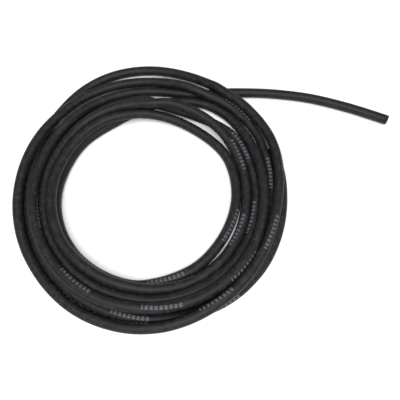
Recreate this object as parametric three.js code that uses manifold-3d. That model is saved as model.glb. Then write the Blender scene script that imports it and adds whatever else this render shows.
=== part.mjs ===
// Flexible rubber hose, lying on its side as a round coil with one free end.
// Millimetres, +Z up. The origin is on the floor, under the middle of the whole outline.
import * as THREE from 'three';
import { mergeVertices } from 'three/addons/utils/BufferGeometryUtils.js';
import Module from 'manifold-3d';

// Driving dimensions
const HOSE_DIAMETER = 12.7;
const BORE_DIAMETER = 6.35;
const COIL_INNER_RADIUS = 106;
const LOWER_TURNS = 5;
const UPPER_TURNS = 4;
const COIL_CENTRE = new THREE.Vector2(-76, 0);
const TOUCHING_GAP = 0.3;

// Fineness of the facets
const COIL_SEGMENTS = 72;
const TAIL_SIDES = 12;
const TAIL_STEPS = 11;

// The free end's centreline on the floor, from under the coil out to the cut end
const TAIL_ROUTE = [
  [-20, 141],
  [34, 141],
  [79, 140],
  [108, 137],
  [140, 132],
  [172, 123],
  [204, 112],
  [243, 96],
];

const hoseRadius = HOSE_DIAMETER / 2;
const layerRise = HOSE_DIAMETER * Math.sin(Math.PI / 3);
const coilOuterRadius = COIL_INNER_RADIUS + LOWER_TURNS * HOSE_DIAMETER;
const coilHeight = HOSE_DIAMETER + layerRise;

const coilRubber = new THREE.MeshStandardMaterial({ color: 0x1c1d1f, roughness: 0.62 });
const tailRubber = new THREE.MeshStandardMaterial({ color: 0x1c1d1f, roughness: 0.62 });

// The middle radius of one turn in a layer. Each upper turn lies in the valley between two lower ones.
function turnRadius(turn, isUpper) {
  const firstRadius = COIL_INNER_RADIUS + hoseRadius * (isUpper ? 2 : 1);
  return firstRadius + turn * HOSE_DIAMETER;
}

// One turn is eight-sided, with a flat below to lie on and a flat on top.
// Corner 0 is at the lower end of the outer side, and the corners run upwards and round.
function turnCorner(radius, height, corner) {
  const angle = -Math.PI / 8 + (corner * Math.PI) / 4;
  const reach = hoseRadius / Math.cos(Math.PI / 8);
  return new THREE.Vector2(radius + reach * Math.cos(angle), height + reach * Math.sin(angle));
}

// The closed outline of the stacked turns, counter-clockwise from the innermost turn's foot
function coilOutline() {
  const upperHeight = hoseRadius + layerRise;
  const lower = (turn, corner) => turnCorner(turnRadius(turn, false), hoseRadius, corner);
  const upper = (turn, corner) => turnCorner(turnRadius(turn, true), upperHeight, corner);
  const lastLower = LOWER_TURNS - 1;
  const lastUpper = UPPER_TURNS - 1;
  const points = [lower(0, 5)];

  // Underside: each turn's flat, with a groove between neighbours
  for (let turn = 0; turn <= lastLower; turn += 1) {
    points.push(lower(turn, 6), lower(turn, 7), lower(turn, 0));
  }

  // Outer side: up the outermost lower turn, then in to the upper turn that lies in its valley
  const valleyReach = hoseRadius * (1 + Math.SQRT2) - layerRise;
  points.push(lower(lastLower, 1), lower(lastLower, 2));
  points.push(new THREE.Vector2(turnRadius(lastUpper, true) + valleyReach, HOSE_DIAMETER));
  points.push(upper(lastUpper, 0));

  // Top: each upper turn's flat, from the outside in
  for (let turn = lastUpper; turn >= 0; turn -= 1) {
    points.push(upper(turn, 1), upper(turn, 2), upper(turn, 3));
  }

  // Inner side: down to the innermost lower turn
  points.push(upper(0, 4), upper(0, 5));
  points.push(new THREE.Vector2(turnRadius(0, true) - valleyReach, HOSE_DIAMETER));
  points.push(lower(0, 3), lower(0, 4));
  points.push(points[0].clone());
  return points;
}

// Turns a closed outline of radius and height about the coil's upright axis
function turnedRing(outline) {
  const ring = new THREE.LatheGeometry(outline, COIL_SEGMENTS);
  ring.rotateX(Math.PI / 2);
  ring.translate(COIL_CENTRE.x, COIL_CENTRE.y, 0);
  return ring;
}

// The hose's own section, with its open bore
function hoseSection() {
  const circlePoints = (radius) =>
    Array.from({ length: TAIL_SIDES }, (_, side) => {
      const angle = (2 * Math.PI * (side + 0.5)) / TAIL_SIDES;
      return new THREE.Vector2(radius * Math.cos(angle), radius * Math.sin(angle));
    });
  const section = new THREE.Shape(circlePoints(hoseRadius));
  section.holes.push(new THREE.Path(circlePoints(BORE_DIAMETER / 2).reverse()));
  return section;
}

function tailTube() {
  const route = new THREE.CatmullRomCurve3(
    TAIL_ROUTE.map(([x, y]) => new THREE.Vector3(x, y, hoseRadius)),
  );
  return new THREE.ExtrudeGeometry(hoseSection(), { steps: TAIL_STEPS, extrudePath: route });
}

// Cutting
const wasm = await Module();
wasm.setup();

function toSolid(geometry) {
  geometry.deleteAttribute('normal');
  geometry.deleteAttribute('uv');
  const merged = mergeVertices(geometry, 1e-4);
  return new wasm.Manifold(
    new wasm.Mesh({
      numProp: 3,
      vertProperties: new Float32Array(merged.attributes.position.array),
      triVerts: new Uint32Array(merged.index.array),
    }),
  );
}

function toGeometry(solid) {
  const mesh = solid.getMesh();
  const geometry = new THREE.BufferGeometry();
  geometry.setAttribute('position', new THREE.BufferAttribute(mesh.vertProperties, 3));
  geometry.setIndex(new THREE.BufferAttribute(mesh.triVerts, 1));
  geometry.computeVertexNormals();
  return geometry;
}

// The free end stops just clear of the coil's outer side
function cutTail() {
  const cutRadius = coilOuterRadius + TOUCHING_GAP;
  const clearance = turnedRing([
    new THREE.Vector2(COIL_INNER_RADIUS, -HOSE_DIAMETER),
    new THREE.Vector2(cutRadius, -HOSE_DIAMETER),
    new THREE.Vector2(cutRadius, coilHeight + HOSE_DIAMETER),
    new THREE.Vector2(COIL_INNER_RADIUS, coilHeight + HOSE_DIAMETER),
    new THREE.Vector2(COIL_INNER_RADIUS, -HOSE_DIAMETER),
  ]);
  return toGeometry(toSolid(tailTube()).subtract(toSolid(clearance)));
}

const hose = new THREE.Group();
hose.name = 'hose';

const coil = new THREE.Mesh(turnedRing(coilOutline()), coilRubber);
coil.name = 'hose_coil';
hose.add(coil);

const tail = new THREE.Mesh(cutTail(), tailRubber);
tail.name = 'hose_tail';
hose.add(tail);

export default hose;
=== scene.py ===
import math

import bpy
import numpy as np
from bpy.props import FloatProperty, FloatVectorProperty, IntProperty, PointerProperty
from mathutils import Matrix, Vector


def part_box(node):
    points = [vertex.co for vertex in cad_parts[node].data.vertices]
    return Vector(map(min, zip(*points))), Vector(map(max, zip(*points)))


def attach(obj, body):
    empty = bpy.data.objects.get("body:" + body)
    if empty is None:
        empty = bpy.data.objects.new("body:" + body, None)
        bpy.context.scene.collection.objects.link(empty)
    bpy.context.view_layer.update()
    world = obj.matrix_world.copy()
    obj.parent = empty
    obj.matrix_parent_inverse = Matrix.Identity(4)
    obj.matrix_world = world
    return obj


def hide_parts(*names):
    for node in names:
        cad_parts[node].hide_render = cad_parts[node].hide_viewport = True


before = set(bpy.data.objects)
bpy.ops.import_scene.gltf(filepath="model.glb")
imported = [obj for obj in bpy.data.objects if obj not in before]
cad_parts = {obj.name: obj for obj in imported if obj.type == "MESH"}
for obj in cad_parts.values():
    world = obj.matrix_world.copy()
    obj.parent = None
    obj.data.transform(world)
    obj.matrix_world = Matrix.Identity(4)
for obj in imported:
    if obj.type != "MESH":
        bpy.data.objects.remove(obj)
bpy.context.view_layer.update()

bl_info = {
    "name": "Coiled Rubber Hose",
    "version": (1, 0, 0),
    "blender": (4, 5, 0),
    "location": "View3D > Sidebar > Hose",
    "description": "Lays a length of black rubber hose as a loose round coil with one free end",
    "category": "Add Mesh",
}

MM = 0.001

# The coil's upright axis on the floor, from the solid that holds its place. The loose coil lies a
# little nearer than the solid, which leaves room for its stray turn.
LOOSE_COIL_SHIFT = 6 * MM
coil_low, coil_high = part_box("hose_coil")
COIL_MIDDLE_X = (coil_low.x + coil_high.x) / 2
COIL_MIDDLE_Y = (coil_low.y + coil_high.y) / 2 - LOOSE_COIL_SHIFT

# The free end's centreline on the floor, from under the coil out to the cut end
TAIL_ROUTE_MM = [
    (34, 141),
    (79, 140),
    (108, 137),
    (140, 132),
    (172, 123),
    (204, 112),
    (243, 96),
]

# How the coil lies, from the free end inwards. Each stop is an angle in degrees counted on round
# the coil, the turn's distance from the coil's axis in mm, and how many layers up it starts.
TURN_STOPS = [
    # The free end comes in on the floor, under two turns, and climbs to the upper layer
    (54, 182, 0.0), (58, 172, 0.0), (63, 161, 0.3), (69, 154, 0.6), (78, 150, 0.4),
    (91, 149, 0.0), (105, 149, 0.1), (119, 147, 0.6), (134, 143, 1.2), (156, 140, 1.6),
    (189, 138, 1.8), (220, 141, 1.8), (248, 146, 1.8), (273, 149, 1.8), (297, 152, 1.8),
    (323, 151, 1.2), (353, 145, 0.5), (387, 145, 0.0), (405, 149, 0.0),
    # It crosses another turn and goes below the rest to the coil's inner side
    (417, 149, 0.0), (427, 143, 0.0), (437, 135, 0.0), (447, 127, 0.0), (457, 119, 0.0),
    (467, 113, 0.0), (478, 110, 0.0), (490, 110, 0.0), (503, 112, 0.0), (520, 112, 0.0),
    (548, 116, 0.0), (580, 119, 0.0), (608, 121, 0.0), (633, 123, 0.0), (657, 119, 0.0),
    (682, 114, 0.0),
    # Second inner turn, on the floor at the right and over the turn before at the left
    (711, 112, 0.0), (731, 112, 0.0), (748, 110, 0.0), (763, 106, 0.0), (778, 104, 0.0),
    (793, 105, 0.0), (808, 107, 0.0), (820, 109, 0.3), (832, 111, 0.8), (845, 112, 1.0),
    (860, 113, 1.0), (880, 114, 1.0), (910, 118, 0.9), (941, 122, 0.8), (969, 126, 0.8),
    (993, 130, 0.7), (1017, 131, 0.6), (1042, 129, 0.6), (1070, 125, 0.8),
    # Third inner turn
    (1104, 122, 1.0), (1120, 123, 1.0), (1139, 121, 1.0), (1156, 120, 1.2), (1173, 116, 1.8),
    (1190, 119, 1.8), (1208, 126, 1.0), (1236, 127, 1.1), (1262, 128, 1.2), (1288, 130, 1.3),
    (1312, 133, 1.3), (1340, 137, 1.3), (1365, 141, 0.8), (1392, 142, 0.1), (1420, 139, 0.0),
    # A turn that lies hidden below the upper layer
    (1444, 136, 0.0), (1460, 136, 0.0), (1476, 134, 0.0), (1494, 125, 0.0), (1512, 120, 0.0),
    (1526, 121, 0.4), (1540, 127, 0.9), (1554, 133, 0.6), (1572, 137, 0.0), (1600, 136, 0.0),
    (1630, 135, 0.0), (1660, 137, 0.0), (1688, 141, 0.0), (1713, 147, 0.0), (1738, 154, 0.0),
    (1765, 158, 0.0), (1794, 156, 0.0),
    # The outermost turn
    (1827, 162, 0.2), (1845, 162, 0.6), (1860, 155, 1.2), (1873, 155, 0.9), (1890, 160, 0.6),
    (1906, 164, 0.6), (1920, 165, 0.9), (1944, 160, 1.0), (1987, 159, 0.7), (2018, 162, 0.3),
    (2047, 167, 0.0), (2073, 169, 0.4), (2097, 167, 1.0), (2123, 163, 1.2), (2153, 161, 1.0),
    # The stray turn, which lies over the free end and then dives below the outermost one
    (2170, 167, 1.0), (2186, 171, 1.0), (2201, 171, 1.0), (2219, 171, 1.2), (2235, 178, 0.8),
    (2252, 185, 0.3), (2270, 185, 0.0), (2284, 179, 0.0), (2298, 169, 0.0), (2316, 159, 0.0),
    (2346, 151, 0.0), (2378, 150, 0.0), (2408, 154, 0.0), (2433, 158, 0.0), (2449, 162, 0.0),
    (2466, 168, 0.0), (2484, 170, 0.0), (2514, 169, 0.0), (2540, 169, 0.0),
]

# How finely the planned route is worked out, and how often its join is smoothed
COIL_POINTS = 4000
TAIL_POINTS = 400
JOIN_SMOOTHING_PASSES = 4

# How the laid hose settles. Each pass lets it sink, holds it to its planned route, evens out its
# bends and moves turns that share a place apart. Later passes sink less and hold less.
SETTLE_PASSES = 600
SINK = 0.00006
SINK_FADE = 0.8
HOLD = 0.12
LATE_HOLD = 0.05
LATE_FROM = 0.85
HEIGHT_SMOOTHING = 0.40
PLAN_SMOOTHING = 0.05
PUSH_ROUNDS = 3
PUSH_SHARE = 0.30

# Which points can touch: pairs nearer than so many diameters that are further apart than so many
# along the hose. They are looked for again after so many passes.
NEAR_PAIR = 1.45
SAME_STRETCH = 2.2
PAIRS_EVERY = 12

# The line of marks: a tick's spacing and its share of it, and the same for a group of ticks
TICK_SPACING = 5.2 * MM
TICK_SHARE = 0.62
GROUP_SPACING = 104.0 * MM
GROUP_SHARE = 0.42

# How fine the rubber's textures are, in cells a metre, and how deep its grain is. The wear's cells
# are counted a metre along the hose and a turn round it.
GRAIN_SCALE = 1400.0
PATCH_SCALE = 190.0
WEAR_SCALE = 420.0
GRAIN_STRENGTH = 0.35
GRAIN_DEPTH = 0.25 * MM

# The middle of the view, from the coil's axis
VIEW_NEARER = 14 * MM
VIEW_RIGHT = 0.06515
VIEW_UP = 0.00127

# The floor and the soft light over it
FLOOR_SIZE = 6.0
FLOOR_SHADE = 0.9
LIGHT_PLACE = (0.0, -0.6, 1.4)
LIGHT_TILT = math.radians(23)


class HoseSettings(bpy.types.PropertyGroup):
    """The hose's own sizes and finish"""

    diameter: FloatProperty(
        name="Outside diameter",
        description="The hose's outside diameter",
        default=12.7 * MM,
        unit="LENGTH",
    )
    bore: FloatProperty(
        name="Bore",
        description="The diameter of the open bore",
        default=6.35 * MM,
        unit="LENGTH",
    )
    step: FloatProperty(
        name="Step",
        description="The distance between the rings of the mesh along the hose",
        default=6.0 * MM,
        unit="LENGTH",
    )
    sides: IntProperty(
        name="Sides",
        description="How many sides the round section has",
        default=24,
    )
    rubber_colour: FloatVectorProperty(
        name="Rubber",
        description="The colour of the clean rubber",
        subtype="COLOR",
        size=4,
        default=(0.0075, 0.0075, 0.008, 1.0),
        min=0.0,
        max=1.0,
    )
    dust_colour: FloatVectorProperty(
        name="Dust",
        description="The colour of the thin dust on the rubber",
        subtype="COLOR",
        size=4,
        default=(0.055, 0.055, 0.058, 1.0),
        min=0.0,
        max=1.0,
    )
    dust: FloatProperty(
        name="Dust share",
        description="How much dust lies on the rubber at its dustiest",
        default=0.28,
        min=0.0,
        max=1.0,
    )
    roughness: FloatProperty(
        name="Roughness",
        description="The rubber's roughness",
        default=0.5,
        min=0.0,
        max=1.0,
    )
    shine: FloatProperty(
        name="Shine",
        description="The strength of the rubber's highlights",
        default=0.2,
        min=0.0,
        max=1.0,
    )
    mark_colour: FloatVectorProperty(
        name="Marks",
        description="The colour of the worn line of marks",
        subtype="COLOR",
        size=4,
        default=(0.30, 0.29, 0.36, 1.0),
        min=0.0,
        max=1.0,
    )
    mark_strength: FloatProperty(
        name="Mark strength",
        description="How strongly the marks cover the rubber",
        default=0.5,
        min=0.0,
        max=1.0,
    )
    mark_height: FloatProperty(
        name="Mark height",
        description="The height of a mark, round the hose",
        default=4.6 * MM,
        unit="LENGTH",
    )
    mark_twist: FloatProperty(
        name="Mark twist",
        description="The length of hose in which the line of marks winds once round it",
        default=0.87,
        unit="LENGTH",
    )
    mark_start: FloatProperty(
        name="Mark start",
        description="Where round the hose the line of marks starts, in turns",
        default=0.38,
    )


class StageSettings(bpy.types.PropertyGroup):
    """The camera and the light"""

    elevation: FloatProperty(
        name="Camera elevation",
        description="How far the camera looks down from level",
        default=math.radians(68.0),
        subtype="ANGLE",
    )
    distance: FloatProperty(
        name="Camera distance",
        description="How far the camera stands back from the middle of the view",
        default=0.506,
        unit="LENGTH",
    )
    lens: FloatProperty(
        name="Lens",
        description="The camera's focal length in millimetres",
        default=36.0,
    )
    light_size: FloatProperty(
        name="Light size",
        description="The side of the square soft light",
        default=1.4,
        unit="LENGTH",
    )
    light_power: FloatProperty(
        name="Light power",
        description="The power of the soft light",
        default=34.0,
        unit="POWER",
    )
    surround: FloatProperty(
        name="Surround",
        description="The strength of the even white light from all round",
        default=0.5,
        min=0.0,
    )


def smooth_curve(stops, step_count):
    """Even places and the values there, on a smooth curve through stops of a place and its values."""
    stops = np.array(stops, float)
    places = stops[:, 0]
    slopes = np.gradient(stops[:, 1:], places, axis=0)
    wanted = np.linspace(places[0], places[-1], step_count)
    span = np.clip(np.searchsorted(places, wanted, side="right") - 1, 0, len(places) - 2)
    width = places[span + 1] - places[span]
    along = ((wanted - places[span]) / width)[:, None]
    width = width[:, None]
    start = stops[span, 1:]
    end = stops[span + 1, 1:]
    start_slope = slopes[span] * width
    end_slope = slopes[span + 1] * width
    blend = along * along * (3 - 2 * along)
    rise = along * (1 - along) ** 2
    fall = -along * along * (1 - along)
    values = start * (1 - blend) + end * blend + start_slope * rise + end_slope * fall
    return wanted, values


def even_steps(points, step):
    """The same route with points an even step apart."""
    lengths = np.linalg.norm(np.diff(points, axis=0), axis=1)
    travelled = np.concatenate([[0.0], np.cumsum(lengths)])
    count = int(round(travelled[-1] / step)) + 1
    wanted = np.linspace(0.0, travelled[-1], count)
    return np.stack([np.interp(wanted, travelled, points[:, axis]) for axis in range(3)], 1)


def planned_route(diameter, step):
    """The hose's route before it settles, from the end inside the coil to the free end."""
    layer = diameter * math.sin(math.pi / 3)
    angles, values = smooth_curve(TURN_STOPS, COIL_POINTS)
    turn = np.radians(angles)
    radius = values[:, 0] * MM
    height = diameter / 2 + np.clip(values[:, 1], 0.0, None) * layer
    coil = np.stack(
        [
            COIL_MIDDLE_X + radius * np.cos(turn),
            COIL_MIDDLE_Y + radius * np.sin(turn),
            height,
        ],
        1,
    )
    tail_stops = [(index, x * MM, y * MM) for index, (x, y) in enumerate(TAIL_ROUTE_MM)]
    _, tail = smooth_curve(tail_stops, TAIL_POINTS)
    tail = np.column_stack([tail, np.full(len(tail), diameter / 2)])
    route = np.concatenate([coil[::-1], tail])
    route = even_steps(route, step)
    # Smoothing takes the corner out of the join
    for _ in range(JOIN_SMOOTHING_PASSES):
        route[1:-1] += 0.25 * (route[:-2] + route[2:] - 2 * route[1:-1])
    return even_steps(route, step)


def settle(route, diameter, step):
    """Lets the hose lie down on the floor and on itself, and moves turns that share a place apart."""
    radius = diameter / 2
    place = route.copy()
    plan = route[:, :2].copy()
    count = len(place)
    skip = int(SAME_STRETCH * diameter / step)
    first = second = None
    for settle_pass in range(SETTLE_PASSES):
        late = settle_pass / SETTLE_PASSES
        place[:, 2] -= SINK * (1 - SINK_FADE * late)
        hold = HOLD if late < LATE_FROM else LATE_HOLD
        place[:, :2] += hold * (plan - place[:, :2])
        bend = place[:-2] + place[2:] - 2 * place[1:-1]
        place[1:-1, 2] += HEIGHT_SMOOTHING * bend[:, 2]
        place[1:-1, :2] += PLAN_SMOOTHING * bend[:, :2]
        if settle_pass % PAIRS_EVERY == 0:
            gap = place[:, None, :] - place[None, :, :]
            near = np.einsum("ijk,ijk->ij", gap, gap) < (diameter * NEAR_PAIR) ** 2
            first, second = np.nonzero(np.triu(near, skip))
        for _ in range(PUSH_ROUNDS):
            apart = place[first] - place[second]
            distance = np.linalg.norm(apart, axis=1)
            overlap = np.clip(diameter - distance, 0.0, None)
            push = apart * (PUSH_SHARE * overlap / np.maximum(distance, 1e-6))[:, None]
            shift = np.zeros_like(place)
            weight = np.zeros(count)
            np.add.at(shift, first, push)
            np.add.at(shift, second, -push)
            pushed = (overlap > 0).astype(float)
            np.add.at(weight, first, pushed)
            np.add.at(weight, second, pushed)
            place += shift / np.maximum(weight / 2.0, 1.0)[:, None]
            place[:, 2] = np.maximum(place[:, 2], radius)
    return place


def tube_mesh(name, path, diameter, bore, sides):
    """A hollow open tube round the path. Its UVs are metres along, and turns around from the top."""
    ahead = np.gradient(path, axis=0)
    ahead /= np.linalg.norm(ahead, axis=1)[:, None]
    across = np.cross(ahead, [0.0, 0.0, 1.0])
    across /= np.linalg.norm(across, axis=1)[:, None]
    upward = np.cross(across, ahead)
    angle = 2 * np.pi * np.arange(sides) / sides
    up_part = np.cos(angle)[None, :, None] * upward[:, None, :]
    across_part = np.sin(angle)[None, :, None] * across[:, None, :]
    ring = up_part + across_part
    outer = path[:, None, :] + ring * diameter / 2
    inner = path[:, None, :] + ring * bore / 2
    count = len(path)
    vertices = np.concatenate([outer.reshape(-1, 3), inner.reshape(-1, 3)])
    lengths = np.linalg.norm(np.diff(path, axis=0), axis=1)
    metres = np.concatenate([[0.0], np.cumsum(lengths)])
    faces = []
    uvs = []
    inner_start = count * sides
    for index in range(count - 1):
        for side in range(sides):
            other = (side + 1) % sides
            here = index * sides
            there = here + sides
            inner_here = inner_start + here
            inner_there = inner_start + there
            faces.append((here + side, here + other, there + other, there + side))
            faces.append((inner_here + side, inner_there + side, inner_there + other, inner_here + other))
            low = side / sides
            high = (side + 1) / sides
            here_low = (metres[index], low)
            here_high = (metres[index], high)
            there_low = (metres[index + 1], low)
            there_high = (metres[index + 1], high)
            uvs += [here_low, here_high, there_high, there_low]
            uvs += [here_low, there_low, there_high, here_high]
    # The square-cut wall at each end
    last = (count - 1) * sides
    for side in range(sides):
        other = (side + 1) % sides
        low = side / sides
        high = (side + 1) / sides
        faces.append((side, inner_start + side, inner_start + other, other))
        uvs += [(metres[0], low), (metres[0], low), (metres[0], high), (metres[0], high)]
        faces.append((last + side, last + other, inner_start + last + other, inner_start + last + side))
        uvs += [(metres[-1], low), (metres[-1], high), (metres[-1], high), (metres[-1], low)]
    mesh = bpy.data.meshes.new(name)
    mesh.from_pydata(vertices.tolist(), [], faces)
    layer = mesh.uv_layers.new(name="along_and_around")
    layer.data.foreach_set("uv", np.array(uvs, np.float32).ravel())
    mesh.update()
    mesh.shade_smooth()
    return mesh


class NodeMaker:
    """Adds shader nodes to one tree, with their inputs given as values or as other nodes' outputs."""

    def __init__(self, tree):
        self.tree = tree

    def add(self, kind, inputs=None, **options):
        node = self.tree.nodes.new(kind)
        for name, value in options.items():
            setattr(node, name, value)
        for name, value in (inputs or {}).items():
            if isinstance(value, bpy.types.NodeSocket):
                self.tree.links.new(value, node.inputs[name])
            else:
                node.inputs[name].default_value = value
        return node

    def math(self, operation, first, second=0.0):
        return self.add("ShaderNodeMath", {0: first, 1: second}, operation=operation).outputs[0]

    def spread(self, value, low, high, to_low=0.0, to_high=1.0):
        limits = {"Value": value, "From Min": low, "From Max": high, "To Min": to_low, "To Max": to_high}
        return self.add("ShaderNodeMapRange", limits).outputs["Result"]


def worn_marks(make, settings):
    """How much of the pale line of marks shows: plain ticks in groups, which wind slowly round the hose."""
    places = make.add("ShaderNodeUVMap", uv_map="along_and_around").outputs["UV"]
    split = make.add("ShaderNodeSeparateXYZ", {"Vector": places})
    along = split.outputs["X"]
    around = split.outputs["Y"]
    wound = make.math("DIVIDE", along, settings.mark_twist)
    turned = make.math("SUBTRACT", around, wound)
    # Eight whole turns keep the sum above zero, and the half puts the line in the middle
    offset = make.math("FRACT", make.math("ADD", turned, settings.mark_start + 8.5))
    from_line = make.math("ABSOLUTE", make.math("SUBTRACT", offset, 0.5))
    in_line = make.math("LESS_THAN", from_line, settings.mark_height / (math.pi * settings.diameter) / 2)
    tick_place = make.math("FRACT", make.math("DIVIDE", along, TICK_SPACING))
    tick = make.math("LESS_THAN", tick_place, TICK_SHARE)
    group_place = make.math("FRACT", make.math("DIVIDE", along, GROUP_SPACING))
    group = make.math("LESS_THAN", group_place, GROUP_SHARE)
    wear_inputs = {"Vector": places, "Scale": WEAR_SCALE, "Detail": 2.0}
    wear = make.add("ShaderNodeTexNoise", wear_inputs).outputs["Fac"]
    kept = make.spread(wear, 0.42, 0.62)
    ticks = make.math("MULTIPLY", in_line, tick)
    return make.math("MULTIPLY", ticks, make.math("MULTIPLY", group, kept))


def rubber_material(settings):
    """Matte black rubber with a fine grain, a little dust and a worn line of pale marks."""
    material = bpy.data.materials.new("hose_rubber")
    material.use_nodes = True
    tree = material.node_tree
    make = NodeMaker(tree)
    shader = tree.nodes["Principled BSDF"]
    places = make.add("ShaderNodeTexCoord").outputs["Object"]

    grain_inputs = {"Vector": places, "Scale": GRAIN_SCALE, "Detail": 3.0}
    grain = make.add("ShaderNodeTexNoise", grain_inputs).outputs["Fac"]
    patch_inputs = {"Vector": places, "Scale": PATCH_SCALE, "Detail": 5.0}
    patches = make.add("ShaderNodeTexNoise", patch_inputs).outputs["Fac"]
    dust = make.spread(patches, 0.45, 0.75, 0.0, settings.dust)
    clean = make.add("ShaderNodeMix", {"Factor": dust}, data_type="RGBA")
    clean.inputs["A"].default_value = settings.rubber_colour
    clean.inputs["B"].default_value = settings.dust_colour
    shown = make.math("MULTIPLY", worn_marks(make, settings), settings.mark_strength)
    marked = make.add("ShaderNodeMix", {"Factor": shown}, data_type="RGBA")
    tree.links.new(clean.outputs["Result"], marked.inputs["A"])
    marked.inputs["B"].default_value = settings.mark_colour
    tree.links.new(marked.outputs["Result"], shader.inputs["Base Color"])

    roughness = make.spread(patches, 0.3, 0.7, settings.roughness - 0.06, settings.roughness + 0.08)
    tree.links.new(roughness, shader.inputs["Roughness"])
    shader.inputs["Specular IOR Level"].default_value = settings.shine
    bump_inputs = {"Height": grain, "Strength": GRAIN_STRENGTH, "Distance": GRAIN_DEPTH}
    bump = make.add("ShaderNodeBump", bump_inputs)
    tree.links.new(bump.outputs["Normal"], shader.inputs["Normal"])
    return material


class HOSE_OT_lay_hose(bpy.types.Operator):
    """Lay the whole hose as a settled coil with one free end"""

    bl_idname = "hose.lay_hose"
    bl_label = "Lay Hose"

    def execute(self, context):
        settings = context.scene.hose_settings
        if settings.bore >= settings.diameter:
            raise ValueError("The bore has to be smaller than the outside diameter")
        bpy.ops.object.select_all(action="DESELECT")
        route = planned_route(settings.diameter, settings.step)
        path = settle(route, settings.diameter, settings.step)
        mesh = tube_mesh("hose", path, settings.diameter, settings.bore, settings.sides)
        hose = bpy.data.objects.new("hose", mesh)
        context.scene.collection.objects.link(hose)
        mesh.materials.append(rubber_material(settings))
        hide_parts("hose_coil", "hose_tail")
        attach(hose, "root")
        return {"FINISHED"}


class HOSE_OT_set_stage(bpy.types.Operator):
    """Set the floor, the soft light and the camera"""

    bl_idname = "hose.set_stage"
    bl_label = "Set Stage"

    def execute(self, context):
        stage = context.scene.stage_settings
        bpy.ops.object.select_all(action="DESELECT")
        tilt = math.pi / 2 - stage.elevation
        backward = np.array([0.0, -math.cos(stage.elevation), math.sin(stage.elevation)])
        upward = np.array([0.0, math.sin(stage.elevation), math.cos(stage.elevation)])
        middle = np.array([COIL_MIDDLE_X, COIL_MIDDLE_Y - VIEW_NEARER, 0.0])
        rightward = np.array([VIEW_RIGHT, 0.0, 0.0])
        place = middle + backward * stage.distance + upward * VIEW_UP + rightward
        bpy.ops.object.camera_add(location=place, rotation=(tilt, 0.0, 0.0))
        camera = context.object
        camera.data.lens = stage.lens
        camera.data.sensor_width = 36.0
        camera.data.clip_start = 0.01
        context.scene.camera = camera

        bpy.ops.mesh.primitive_plane_add(size=FLOOR_SIZE, location=(0.0, 0.0, 0.0))
        floor = context.object
        floor.name = "floor"
        paper = bpy.data.materials.new("pale_floor")
        paper.use_nodes = True
        shader = paper.node_tree.nodes["Principled BSDF"]
        shader.inputs["Base Color"].default_value = (FLOOR_SHADE, FLOOR_SHADE, FLOOR_SHADE, 1.0)
        shader.inputs["Roughness"].default_value = 0.9
        floor.data.materials.append(paper)

        world = bpy.data.worlds.new("studio")
        world.use_nodes = True
        background = world.node_tree.nodes["Background"]
        background.inputs["Color"].default_value = (1.0, 1.0, 1.0, 1.0)
        background.inputs["Strength"].default_value = stage.surround
        context.scene.world = world
        context.scene.view_settings.view_transform = "Standard"
        bpy.ops.object.light_add(
            type="AREA",
            location=LIGHT_PLACE,
            rotation=(LIGHT_TILT, 0.0, 0.0),
        )
        softbox = context.object
        softbox.data.size = stage.light_size
        softbox.data.energy = stage.light_power
        return {"FINISHED"}


class HOSE_PT_panel(bpy.types.Panel):
    """The hose's operators and settings in the sidebar"""

    bl_idname = "HOSE_PT_panel"
    bl_label = "Hose"
    bl_space_type = "VIEW_3D"
    bl_region_type = "UI"
    bl_category = "Hose"

    def draw(self, context):
        layout = self.layout
        for name in HoseSettings.__annotations__:
            layout.prop(context.scene.hose_settings, name)
        layout.operator("hose.lay_hose")
        for name in StageSettings.__annotations__:
            layout.prop(context.scene.stage_settings, name)
        layout.operator("hose.set_stage")


CLASSES = (HoseSettings, StageSettings, HOSE_OT_lay_hose, HOSE_OT_set_stage, HOSE_PT_panel)


def register():
    for part in CLASSES:
        bpy.utils.register_class(part)
    bpy.types.Scene.hose_settings = PointerProperty(type=HoseSettings)
    bpy.types.Scene.stage_settings = PointerProperty(type=StageSettings)


def unregister():
    del bpy.types.Scene.stage_settings
    del bpy.types.Scene.hose_settings
    for part in reversed(CLASSES):
        bpy.utils.unregister_class(part)


def main():
    register()
    bpy.ops.hose.set_stage()
    bpy.ops.hose.lay_hose()


if __name__ == "__main__":
    main()
